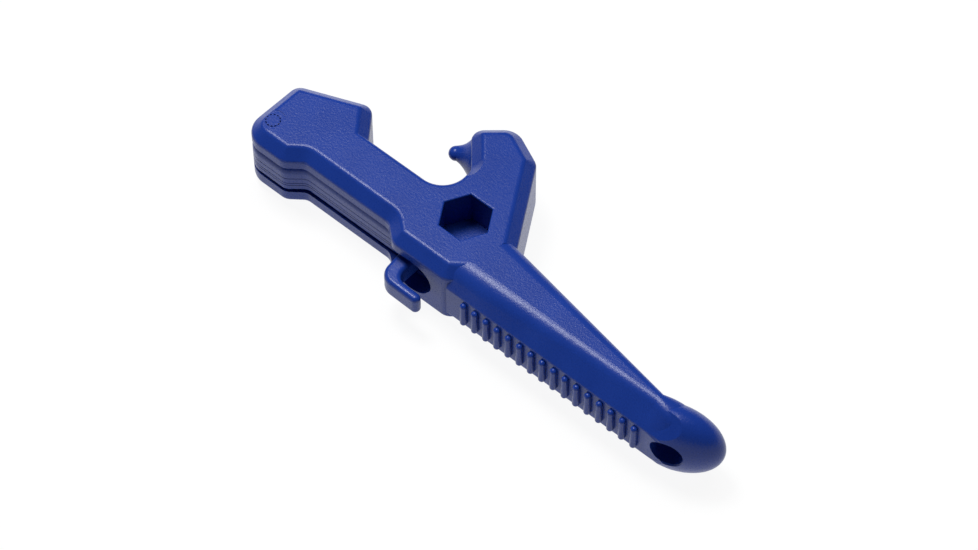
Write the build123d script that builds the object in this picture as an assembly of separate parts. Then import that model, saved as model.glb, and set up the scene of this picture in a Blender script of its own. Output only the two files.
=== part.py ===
"""Moulded hand lever with a claw, a hexagon socket and a fold-out arm.

Frame: +X runs from the head to the tail, +Y towards the claw, +Z up; the origin
is the middle of the footprint, on the bottom face. All sizes in millimetres.
"""
from build123d import *
from math import atan2, cos, hypot, radians, sin, tan
import os

# ---- driving dimensions -------------------------------------------------
THICK = 30.6                 # overall thickness of the head block
MID_Z = THICK / 2
BEVEL = 4.2                  # 45 degree bevel round the top of the head block
BEVEL_UNDER = 3.4            # the same round the bottom
TOP_SOFT = 2.4               # rounding where the bevel meets the top and bottom
WALL_SOFT = 1.6              # rounding where the bevel meets the side wall

HEX_AF = 17.0                # hexagon socket across the flats
HEX_DEPTH = 15.0
RIM_SOFT = 0.6
HEX_AT = (-18.75, -4.0)

PIN_AT = (-97.55, -16.9)     # pivot pin, pressed through both side plates
PIN_R = 2.75
PIN_BORE_R = 2.80
PIN_END_GAP = 0.10           # the pin's ends sit just below the faces
PIN_SPLINES = 12
SPLINE_R = 0.42
SPLINE_LONG = 1.2
DISH_R = 4.6                 # shallow dish in the faces round the pin
DISH_DEEP = 0.2

SLOT_LOW = 8.1               # slot between the side plates
SLOT_HIGH = 22.5
SLOT_BACK_Y = -12.3          # back wall of the slot behind the arm
RECESS_BACK_Y = -15.6        # back wall of the finger recess
RECESS_X = -15.4             # round end of the finger recess
SCOOP_AT = (-24.8, 14.3)     # x and z of the round scoop that frees the hook's root
SCOOP_R = 8.5
SCOOP_BACK_Y = -20.5
SLOT_PIN_R = 9.1             # room round the pin for the arm's swing
SLOT_END_X = -29.5

THROAT_R = 10.0              # throat of the claw
CLAW_DIR = 130.7             # direction of the claw's inner face, degrees
EDGE_Y = -0.9                # straight inner edge between head and throat
LIP_WIDE = 8.0               # flat lip round the throat, which has no bevel
LIP_FROM_X = -76.0
LIP_FILLET = 1.8
RUNOUT_R = 3.0               # the claw's bevel runs out into the throat

NUB_AT = (-40.8, 24.2)       # root of the tooth on the claw's inner face
NUB_TIP_R = 2.75
# Tooth sections: distance out, shift along the face, half width, half height.
NUB = [(-1.5, -1.5, 9.6, 8.0), (1.0, -0.6, 6.4, 6.0), (2.8, 0.8, 4.3, 4.2),
       (5.3, 2.2, NUB_TIP_R, NUB_TIP_R)]

GRIP_Y = -27.0               # flat near side of the grip
RIB_COUNT = 16
RIB_PITCH = 5.06
RIB_R = 1.3
RIB_FIRST_X = 0.45
RIB_LOW = 9.2
RIB_HIGH = 21.5
RIB_PROUD = 1.9
GRIP_SOFT = 1.2              # rounding between the grip's near side and its bevels

TAIL_AT = (86.8, -18.35)     # middle of the egg-shaped tail
TAIL_TURN = 17.0             # its long axis is turned this far from the grip, degrees
TAIL_HALF = (18.4, 9.4, 15.1)
LANYARD_Z = 16.8             # the long hole sideways through the tail
LANYARD_LONG = 12.4
LANYARD_TALL = 11.0
FUNNEL_FROM = 8.4            # its 45 degree funnels start this far from the middle
FUNNEL = 2.4

ARM_LOW = 8.7                # the arm, with a washer above and below it
ARM_HIGH = 21.9
ARM_BOSS_R = 7.0
ARM_CROWN = 3.8              # large rounding along the arm's upper near edge
ARM_SOFT = 0.8               # small one along its lower near edge
HOOK_LOW = 11.0
HOOK_HIGH = 19.6
HOOK_SOFT = 1.7
GROOVE = 0.3
GROOVE_Z = [11.4, 12.6, 15.3]
WASHER_R = 6.0
WASHER_PLAY = 0.03

# Corners seen from above, anticlockwise: x, y, radius.
HEAD_NEAR = [(-105.1, -26.1, 8.4), (-84.9, -26.1, 4.6), (-78.75, -21.3, 4.5)]
FLARE = [(-39.25, -21.3, 5.0), (-33.05, -26.7, 4.6), (-9.0, -26.7, 4.6), (-1.0, -20.4, 0)]
JAW = [(2.9, -2.4, 0), (-16.35, 31.4, 4.6), (-31.3, 38.3, 7.5), (-43.6, 27.6, 4.6)]
THROAT = [(-18.96, EDGE_Y, THROAT_R)]
HEAD_FAR = [(-66.9, EDGE_Y, 0), (-76.7, 12.6, 4.6), (-103.45, 1.8, 4.6)]
ARM = [(-104.6, -25.7, 7.7), (-85.1, -25.7, 4.4), (-79.0, -20.6, 4.7),
       (-24.5, -20.6, 0), (-24.5, -16.1, 0), (-30.1, -16.1, 0), (-30.1, -12.9, 0),
       (-104.6, -12.9, 0)]
HOOK = [(-32.2, -16.4, 0), (-31.2, -36.5, 6.0), (-13.5, -36.8, 1.9), (-13.5, -33.0, 1.85),
        (-25.6, -32.8, 3.5), (-24.9, -17.0, 0)]

# Grip sections: x, near y, far y, height, bevel's width and drop, radius over it, far radius.
GRIP = [
    (-8.0, GRIP_Y, 1.3, THICK, 5.0, 7.8, 9.0, 6.0),
    (4.75, GRIP_Y, -0.7, THICK, 5.2, 7.8, 9.0, 6.0),
    (78.5, GRIP_Y, -14.7, THICK, 8.0, 7.8, 4.4, 2.5),
]
NECK = [
    (78.5, GRIP_Y, -14.7, THICK, 8.0, 7.8, 4.4, 2.5),
    (82.0, -27.1, -12.6, 30.4, 7.2, 7.9, 4.4, 5.0),
    (86.0, -27.2, -11.3, 29.2, 6.6, 8.2, 5.0, 6.5),
    (90.0, -25.6, -11.5, 25.0, 5.4, 7.0, 4.6, 6.2),
]


# ---- small helpers ------------------------------------------------------
def corner_arc(before, corner, after):
    """Start, middle and end of the arc that rounds one corner."""
    bx, by = before[0] - corner[0], before[1] - corner[1]
    ax, ay = after[0] - corner[0], after[1] - corner[1]
    bl, al = hypot(bx, by), hypot(ax, ay)
    bx, by, ax, ay = bx / bl, by / bl, ax / al, ay / al
    half = abs(atan2(bx * ay - by * ax, bx * ax + by * ay)) / 2
    run = corner[2] / tan(half)
    mx, my = bx + ax, by + ay
    ml = hypot(mx, my)
    reach = corner[2] / sin(half) - corner[2]
    start = (corner[0] + bx * run, corner[1] + by * run)
    middle = (corner[0] + mx / ml * reach, corner[1] + my / ml * reach)
    end = (corner[0] + ax * run, corner[1] + ay * run)
    return start, middle, end


def outline(corners):
    """A closed face with straight sides and the given corner radii."""
    count = len(corners)
    pieces = []
    ends = []
    for i, corner in enumerate(corners):
        if corner[2] > 0:
            a, m, b = corner_arc(corners[i - 1], corner, corners[(i + 1) % count])
            pieces.append(ThreePointArc(a, m, b))
            ends.append((a, b))
        else:
            point = (corner[0], corner[1])
            ends.append((point, point))
    for i in range(count):
        pieces.append(Line(ends[i][1], ends[(i + 1) % count][0]))
    return make_face(pieces)


def slab(face, low, high):
    """A flat face stood up between two heights."""
    return extrude(Pos(0, 0, low) * face, high - low)


def rod(x, y, radius, low, high):
    """An upright round rod."""
    return Pos(x, y, (low + high) / 2) * Cylinder(radius, high - low)


def block(x_range, y_range, z_range):
    """A box between pairs of planes."""
    size = [b - a for a, b in (x_range, y_range, z_range)]
    middle = [(a + b) / 2 for a, b in (x_range, y_range, z_range)]
    return Pos(*middle) * Box(*size)


# ---- body ---------------------------------------------------------------
def head_block():
    """Head, side plates, flare and jaw as one bevelled block."""
    face = outline(HEAD_NEAR + FLARE + JAW + THROAT + HEAD_FAR)
    solid = slab(face, 0, THICK)
    solid = chamfer(solid.edges().filter_by_position(Axis.Z, THICK, THICK), BEVEL)
    solid = chamfer(solid.edges().filter_by_position(Axis.Z, 0, 0), BEVEL_UNDER)
    for z in (THICK - BEVEL, BEVEL_UNDER):
        solid = fillet(solid.edges().filter_by_position(Axis.Z, z, z), WALL_SOFT)
    for z in (THICK, 0):
        solid = fillet(solid.edges().filter_by_position(Axis.Z, z, z), TOP_SOFT)
    return solid


def throat_frame():
    """Middle of the throat, where its arc ends, and the direction into the jaw."""
    a = radians(CLAW_DIR)
    inward = (sin(a), -cos(a))
    run = THROAT_R / tan(radians(180 - CLAW_DIR) / 2)
    middle = (THROAT[0][0] - run, EDGE_Y + THROAT_R)
    end = (middle[0] + inward[0] * THROAT_R, middle[1] + inward[1] * THROAT_R)
    return middle, end, inward


def claw_lip():
    """The unbevelled lip along the straight edge and round the throat."""
    middle, end, inward = throat_frame()
    wide = THROAT_R + LIP_WIDE
    turn = radians((CLAW_DIR - 180) / 2)
    bend = (cos(turn), sin(turn))
    foot = (middle[0], EDGE_Y)
    low = (middle[0], EDGE_Y - LIP_WIDE)
    far_end = (middle[0] + inward[0] * wide, middle[1] + inward[1] * wide)
    inner = (middle[0] + bend[0] * THROAT_R, middle[1] + bend[1] * THROAT_R)
    outer = (middle[0] + bend[0] * wide, middle[1] + bend[1] * wide)
    face = make_face([
        Line((LIP_FROM_X, EDGE_Y - LIP_WIDE), (LIP_FROM_X, EDGE_Y)),
        Line((LIP_FROM_X, EDGE_Y), foot),
        ThreePointArc(foot, inner, end),
        Line(end, far_end),
        ThreePointArc(far_end, outer, low),
        Line(low, (LIP_FROM_X, EDGE_Y - LIP_WIDE)),
    ])
    solid = slab(face, 0, THICK)
    rims = solid.edges().filter_by(GeomType.CIRCLE).filter_by(lambda e: e.radius < wide - 1)
    rims += solid.edges().filter_by_position(Axis.Y, EDGE_Y, EDGE_Y)
    rims = [e for e in rims if e.bounding_box().size.Z < 0.01]
    return fillet(rims, LIP_FILLET)


def runout_cones():
    """Cutters that end the claw's bevels smoothly in the throat."""
    middle, end, inward = throat_frame()
    x = end[0] - inward[0] * RUNOUT_R
    y = end[1] - inward[1] * RUNOUT_R
    tall = BEVEL + 1
    upper = Pos(x, y, THICK - BEVEL + tall / 2) * Cone(RUNOUT_R, RUNOUT_R + tall, tall)
    lower = Pos(x, y, BEVEL_UNDER - tall / 2) * Cone(RUNOUT_R + tall, RUNOUT_R, tall)
    return upper + lower


def grip_section(x, near, far, tall, wide, drop, crown, side):
    """Cross-section of the grip: two broad bevels on its near side, round on the far side."""
    plane = Plane(origin=(x, 0, MID_Z), x_dir=(0, 1, 0), z_dir=(1, 0, 0))
    upper = [(far, tall / 2, side), (near + wide, tall / 2, crown), (near, tall / 2 - drop, GRIP_SOFT)]
    lower = [(y, -z, radius) for y, z, radius in reversed(upper)]
    return plane * outline(upper + lower)


def on_tail(solid):
    """Moves a solid from the tail's own axes to its place."""
    return Pos(TAIL_AT[0], TAIL_AT[1], 0) * Rot(0, 0, TAIL_TURN) * solid


def near_flats():
    """Room behind the grip's near side and its two bevels, carried on past the tail."""
    x, near, far, tall, wide, drop = GRIP[-1][:6]
    plane = Plane(origin=(x - 10, 0, MID_Z), x_dir=(0, 1, 0), z_dir=(1, 0, 0))
    upper = [(30, tall, 0), (near + 2 * wide, tall / 2 + drop, 0), (near, tall / 2 - drop, GRIP_SOFT)]
    lower = [(y, -z, radius) for y, z, radius in reversed(upper)]
    return extrude(plane * outline(upper + lower), 60)


def grip():
    """Tapered grip with broad bevels, ending in the egg-shaped tail."""
    solid = loft([grip_section(*row) for row in GRIP], ruled=True)
    solid += loft([grip_section(*row) for row in NECK])
    egg = on_tail(Pos(0, 0, MID_Z) * scale(Rot(0, 90, 0) * Sphere(1), TAIL_HALF))
    return solid + (egg & near_flats())


def claw_nub():
    """Rounded tooth that points across the throat from the claw's tip."""
    inward = throat_frame()[2]
    along = (-inward[1], inward[0])
    sections = []
    for out, shift, half_wide, half_tall in NUB:
        x = NUB_AT[0] - inward[0] * out + along[0] * shift
        y = NUB_AT[1] - inward[1] * out + along[1] * shift
        plane = Plane(origin=(x, y, MID_Z), x_dir=(*along, 0), z_dir=(-inward[0], -inward[1], 0))
        sections.append(plane * Ellipse(half_wide, half_tall))
    return loft(sections) + Pos(x, y, MID_Z) * Sphere(NUB_TIP_R)


def ribs():
    """Row of upright half-round ribs with domed ends."""
    y = GRIP_Y - RIB_PROUD + RIB_R
    row = []
    for i in range(RIB_COUNT):
        x = RIB_FIRST_X + i * RIB_PITCH
        bar = rod(x, y, RIB_R, RIB_LOW + RIB_R, RIB_HIGH - RIB_R)
        bar += Pos(x, y, RIB_LOW + RIB_R) * Sphere(RIB_R)
        bar += Pos(x, y, RIB_HIGH - RIB_R) * Sphere(RIB_R)
        row.append(bar)
    return row


def arm_slot():
    """Room for the arm between the side plates, open along the near side."""
    height = SLOT_HIGH - SLOT_LOW
    round_x = RECESS_X - height / 2
    room = block((-125, SLOT_END_X), (-50, SLOT_BACK_Y), (SLOT_LOW, SLOT_HIGH))
    room += block((SLOT_END_X - 1, round_x), (-50, RECESS_BACK_Y), (SLOT_LOW, SLOT_HIGH))
    end = Cylinder(height / 2, 50 + RECESS_BACK_Y, rotation=(90, 0, 0))
    room += Pos(round_x, (RECESS_BACK_Y - 50) / 2, MID_Z) * end
    scoop = Cylinder(SCOOP_R, 50 + SCOOP_BACK_Y, rotation=(90, 0, 0))
    room += Pos(SCOOP_AT[0], (SCOOP_BACK_Y - 50) / 2, SCOOP_AT[1]) * scoop
    room += rod(PIN_AT[0], PIN_AT[1], SLOT_PIN_R, SLOT_LOW, SLOT_HIGH)
    side = (-50, PIN_AT[1] + SLOT_PIN_R)
    room += block((-125, PIN_AT[0]), side, (SLOT_LOW, SLOT_HIGH))
    return room


def hex_socket():
    """Blind hexagon socket with a corner towards the head."""
    face = RegularPolygon(HEX_AF / 2, 6, major_radius=False)
    return Pos(HEX_AT[0], HEX_AT[1], THICK - HEX_DEPTH) * extrude(face, HEX_DEPTH + 1)


def hex_side(edge):
    """True for the straight rim edges of the hexagon socket."""
    middle = edge.center()
    return hypot(middle.X - HEX_AT[0], middle.Y - HEX_AT[1]) < HEX_AF / 2 + 0.1


def lanyard_section(y, wider):
    """The lanyard hole's outline at one distance across the tail."""
    plane = Plane(origin=(0, y, LANYARD_Z), x_dir=(1, 0, 0), z_dir=(0, -1, 0))
    return plane * SlotOverall(LANYARD_LONG + 2 * wider, LANYARD_TALL + 2 * wider)


def lanyard_hole():
    """Long hole across the tail, with funnelled ends."""
    cut = extrude(lanyard_section(0, 0), 30, both=True)
    for side in (-1, 1):
        start = lanyard_section(side * FUNNEL_FROM, 0)
        end = lanyard_section(side * (FUNNEL_FROM + FUNNEL), FUNNEL)
        cut += loft([start, end])
    return on_tail(cut)


def pin_holes():
    """Bore for the pin and the shallow dishes round its ends."""
    cut = rod(PIN_AT[0], PIN_AT[1], PIN_BORE_R, -1, THICK + 1)
    cut += rod(PIN_AT[0], PIN_AT[1], DISH_R, -1, DISH_DEEP)
    cut += rod(PIN_AT[0], PIN_AT[1], DISH_R, THICK - DISH_DEEP, THICK + 1)
    return cut


def body():
    """The one-piece moulded lever."""
    solid = head_block() + claw_lip()
    solid -= runout_cones()
    solid += claw_nub()
    solid += grip()
    for bar in ribs():
        solid += bar
    solid -= arm_slot()
    solid -= hex_socket()
    top = solid.edges().filter_by_position(Axis.Z, THICK, THICK)
    solid = fillet(top.filter_by(hex_side), RIM_SOFT)
    solid -= lanyard_hole()
    solid -= pin_holes()
    return solid


# ---- moving and inner pieces --------------------------------------------
def near_edge(edge):
    """True for an edge along the arm's outer side, from its end round the pin."""
    middle = edge.center()
    return middle.X < -30 and (middle.Y < -17 or middle.X < -104.5)


def fold_arm():
    """Arm that lies in the slot, with its finger hook."""
    face = outline(ARM)
    face += Pos(*PIN_AT) * Circle(ARM_BOSS_R)
    solid = slab(face, ARM_LOW, ARM_HIGH)
    for z, radius in ((ARM_HIGH, ARM_CROWN), (ARM_LOW, ARM_SOFT)):
        rim = solid.edges().filter_by_position(Axis.Z, z, z)
        solid = fillet(rim.filter_by(near_edge), radius)
    inner = offset(face, amount=-GROOVE)
    for z in GROOVE_Z:
        solid -= slab(face, z, z + GROOVE) - slab(inner, z, z + GROOVE)
    hook = slab(outline(HOOK), HOOK_LOW, HOOK_HIGH)
    hook = fillet(hook.edges(), HOOK_SOFT)
    solid += hook
    return solid - rod(PIN_AT[0], PIN_AT[1], PIN_BORE_R, 0, THICK)


def pivot_pin():
    """Splined pin through both plates and the arm."""
    pin = rod(PIN_AT[0], PIN_AT[1], PIN_R, PIN_END_GAP, THICK - PIN_END_GAP)
    for i in range(PIN_SPLINES):
        a = radians(i * 360 / PIN_SPLINES)
        x = PIN_AT[0] + PIN_R * cos(a)
        y = PIN_AT[1] + PIN_R * sin(a)
        pin -= rod(x, y, SPLINE_R, THICK - PIN_END_GAP - SPLINE_LONG, THICK)
        pin -= rod(x, y, SPLINE_R, 0, PIN_END_GAP + SPLINE_LONG)
    return pin


def washer(low, high):
    """Thin friction washer between the arm and a side plate."""
    ring = rod(PIN_AT[0], PIN_AT[1], WASHER_R, low, high)
    return ring - rod(PIN_AT[0], PIN_AT[1], PIN_BORE_R, low - 1, high + 1)


NODES = {
    "body": body(),
    "fold_arm": fold_arm(),
    "pivot_pin": pivot_pin(),
    "washer_lower": washer(SLOT_LOW, ARM_LOW - WASHER_PLAY),
    "washer_upper": washer(ARM_HIGH + WASHER_PLAY, SLOT_HIGH),
}

os.makedirs("parts", exist_ok=True)
for name, solid in NODES.items():
    export_step(solid, f"parts/{name}.step")
    print(name, solid.is_valid, round(solid.volume), solid.bounding_box())
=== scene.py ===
import math

import bpy
from mathutils import Matrix, Vector

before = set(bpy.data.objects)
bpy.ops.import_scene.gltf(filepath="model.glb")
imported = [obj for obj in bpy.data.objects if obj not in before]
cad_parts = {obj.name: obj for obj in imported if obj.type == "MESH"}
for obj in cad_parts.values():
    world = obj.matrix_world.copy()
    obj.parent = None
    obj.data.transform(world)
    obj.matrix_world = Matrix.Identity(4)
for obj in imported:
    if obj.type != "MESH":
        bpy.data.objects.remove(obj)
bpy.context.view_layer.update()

# Lengths are in metres, angles in degrees and colours are linear.

# ---- the plastics' looks -------------------------------------------------
BLUE_DARK = (0.0085, 0.035, 0.245)
BLUE_LIGHT = (0.0105, 0.041, 0.275)
BLACK_DARK = (0.02, 0.02, 0.025)
BLACK_LIGHT = (0.03, 0.03, 0.035)

# Roughness from the glossiest patches to the dullest, depth of the grain, and specular level.
BLUE_GLOSS = (0.26, 0.32)
BLUE_GRAIN = 0.000075
BLUE_SHINE = 0.28
ARM_SHINE = 0.35
PIN_GRAIN = 0.00006
WASHER_GLOSS = (0.4, 0.5)
WASHER_GRAIN = 0.00001
WASHER_SHINE = 0.5
PLASTIC_IOR = 1.46

# Features per metre of each noise, and how deep the fine grain is beside the coarse.
CLOUDS = 60
GLOSS_PATCHES = 1500
COARSE_GRAINS = 1300
FINE_GRAINS = 3500
FINE_DEPTH = 0.3

# The noise values that give the two ends of a range of colour or roughness.
NOISE_LOW, NOISE_HIGH = 0.3, 0.7

# ---- the studio's sizes --------------------------------------------------
FLOOR_HALF = 3.0
FLOOR_DROP = 0.0002      # below the lever, so that floor and underside don't share a plane
FLOOR_GREY = 0.08
FLOOR_ROUGHNESS = 0.9
FLOOR_GLOW = 0.92

CAMERA_TURN = 40.6       # round from straight in front of the near side, where the ribs are
CAMERA_TILT = 56.4       # above level
CAMERA_DISTANCE = 1.253347
CAMERA_AIM = (-0.0035, -0.009453, 0.0153)
CAMERA_REACH = 20
SENSOR_MM = 36.0
LENS_MM = 132.515


# ---- materials -----------------------------------------------------------
def new_material(name):
    """An empty node material: the material, its nodes and the shader."""
    material = bpy.data.materials.new(name)
    material.use_nodes = True
    tree = material.node_tree
    tree.nodes.clear()
    output = tree.nodes.new("ShaderNodeOutputMaterial")
    shader = tree.nodes.new("ShaderNodeBsdfPrincipled")
    tree.links.new(shader.outputs["BSDF"], output.inputs["Surface"])
    return material, tree, shader


def noise(tree, scale, detail=2.0, roughness=0.5):
    """Solid noise in object space; scale is features per metre."""
    where = tree.nodes.new("ShaderNodeTexCoord")
    texture = tree.nodes.new("ShaderNodeTexNoise")
    texture.inputs["Scale"].default_value = scale
    texture.inputs["Detail"].default_value = detail
    texture.inputs["Roughness"].default_value = roughness
    tree.links.new(where.outputs["Object"], texture.inputs["Vector"])
    return texture.outputs["Fac"]


def spread(tree, value, to_low, to_high):
    """Noise spread over a range, and held inside it."""
    node = tree.nodes.new("ShaderNodeMapRange")
    node.inputs["From Min"].default_value = NOISE_LOW
    node.inputs["From Max"].default_value = NOISE_HIGH
    node.inputs["To Min"].default_value = to_low
    node.inputs["To Max"].default_value = to_high
    tree.links.new(value, node.inputs["Value"])
    return node.outputs["Result"]


def tint(tree, value, dark, light):
    """Colour between two tints."""
    ramp = tree.nodes.new("ShaderNodeValToRGB")
    ramp.color_ramp.elements[0].color = (*dark, 1)
    ramp.color_ramp.elements[1].color = (*light, 1)
    tree.links.new(value, ramp.inputs["Fac"])
    return ramp.outputs["Color"]


def bump(tree, height, depth, under=None):
    """Surface relief of a depth in metres, over the relief under it."""
    node = tree.nodes.new("ShaderNodeBump")
    node.inputs["Strength"].default_value = 1.0
    node.inputs["Distance"].default_value = depth
    tree.links.new(height, node.inputs["Height"])
    if under:
        tree.links.new(under, node.inputs["Normal"])
    return node.outputs["Normal"]


def moulded(name, dark, light, gloss, grain, shine):
    """Moulded plastic with cloudy colour, patchy gloss and a spark-eroded grain.

    gloss is its range of roughness, grain the grain's depth and shine its specular level.
    """
    material, tree, shader = new_material(name)
    cloud = noise(tree, CLOUDS, detail=3)
    colour = tint(tree, spread(tree, cloud, 0, 1), dark, light)
    tree.links.new(colour, shader.inputs["Base Color"])
    patch = noise(tree, GLOSS_PATCHES, detail=2)
    tree.links.new(spread(tree, patch, *gloss), shader.inputs["Roughness"])
    shader.inputs["IOR"].default_value = PLASTIC_IOR
    shader.inputs["Specular IOR Level"].default_value = shine
    coarse = bump(tree, noise(tree, COARSE_GRAINS, detail=3, roughness=0.6), grain)
    fine = bump(tree, noise(tree, FINE_GRAINS, detail=1), grain * FINE_DEPTH, coarse)
    tree.links.new(fine, shader.inputs["Normal"])
    return material


def put(material, *nodes):
    """The given CAD nodes take the material."""
    for name in nodes:
        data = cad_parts[name].data
        data.materials.clear()
        data.materials.append(material)


put(moulded("blue_moulding", BLUE_DARK, BLUE_LIGHT, BLUE_GLOSS, BLUE_GRAIN, BLUE_SHINE), "body")
put(moulded("blue_arm", BLUE_DARK, BLUE_LIGHT, BLUE_GLOSS, BLUE_GRAIN, ARM_SHINE), "fold_arm")
put(moulded("blue_pin", BLUE_DARK, BLUE_LIGHT, BLUE_GLOSS, PIN_GRAIN, BLUE_SHINE), "pivot_pin")
put(moulded("black_washer", BLACK_DARK, BLACK_LIGHT, WASHER_GLOSS, WASHER_GRAIN, WASHER_SHINE),
    "washer_lower", "washer_upper")


# ---- floor, light and camera ---------------------------------------------
def floor():
    """Plain pale floor, far larger than the view. Its own glow keeps shadows on it faint."""
    low, high, level = -FLOOR_HALF, FLOOR_HALF, -FLOOR_DROP
    mesh = bpy.data.meshes.new("floor")
    corners = [(low, low, level), (high, low, level), (high, high, level), (low, high, level)]
    mesh.from_pydata(corners, [], [(0, 1, 2, 3)])
    piece = bpy.data.objects.new("floor", mesh)
    bpy.context.scene.collection.objects.link(piece)
    material, _, shader = new_material("pale_floor")
    shader.inputs["Base Color"].default_value = (FLOOR_GREY, FLOOR_GREY, FLOOR_GREY, 1)
    shader.inputs["Roughness"].default_value = FLOOR_ROUGHNESS
    shader.inputs["Specular IOR Level"].default_value = 0.0
    shader.inputs["Emission Color"].default_value = (1, 1, 1, 1)
    shader.inputs["Emission Strength"].default_value = FLOOR_GLOW
    mesh.materials.append(material)


def soft_box(name, toward, distance, long, wide, radiance, shine=True):
    """Rectangular lamp that faces the origin, its long side along the lever.

    toward is the direction from the origin to the lamp. Without shine no surface mirrors it.
    """
    lamp = bpy.data.lights.new(name, "AREA")
    lamp.shape = "RECTANGLE"
    lamp.size = long
    lamp.size_y = wide
    lamp.energy = radiance * math.pi * long * wide
    back = Vector(toward).normalized()
    along = (Vector((1, 0, 0)) - back * back.x).normalized()
    turn = Matrix((along, back.cross(along), back)).transposed().to_4x4()
    piece = bpy.data.objects.new(name, lamp)
    piece.visible_glossy = shine
    piece.matrix_world = Matrix.Translation(back * distance) @ turn
    bpy.context.scene.collection.objects.link(piece)


def sky(strength):
    """Even white light from all round."""
    world = bpy.data.worlds.new("studio")
    world.use_nodes = True
    back = world.node_tree.nodes["Background"]
    back.inputs["Color"].default_value = (1, 1, 1, 1)
    back.inputs["Strength"].default_value = strength
    bpy.context.scene.world = world


def camera():
    """Camera at the photograph's viewing angle, without roll, aimed at the lever's middle."""
    data = bpy.data.cameras.new("camera")
    data.sensor_width = SENSOR_MM
    data.lens = LENS_MM
    data.clip_end = CAMERA_REACH
    turn = math.radians(CAMERA_TURN)
    tilt = math.radians(CAMERA_TILT)
    right = Vector((math.cos(turn), math.sin(turn), 0))
    ahead = Vector((-math.sin(turn), math.cos(turn), 0))
    back = Vector((0, 0, math.sin(tilt))) - ahead * math.cos(tilt)
    facing = Matrix((right, back.cross(right), back)).transposed().to_4x4()
    piece = bpy.data.objects.new("camera", data)
    piece.matrix_world = Matrix.Translation(Vector(CAMERA_AIM) + back * CAMERA_DISTANCE) @ facing
    bpy.context.scene.collection.objects.link(piece)
    bpy.context.scene.camera = piece


floor()
sky(strength=0.05)
soft_box("overhead", toward=(-0.361, 0.07, 0.93), distance=1.6, long=0.52, wide=0.46, radiance=28.0)
soft_box("above", toward=(-0.1, 0.3, 0.95), distance=2.2, long=1.4, wide=1.0, radiance=4.5, shine=False)
camera()
bpy.context.scene.view_settings.view_transform = "Standard"
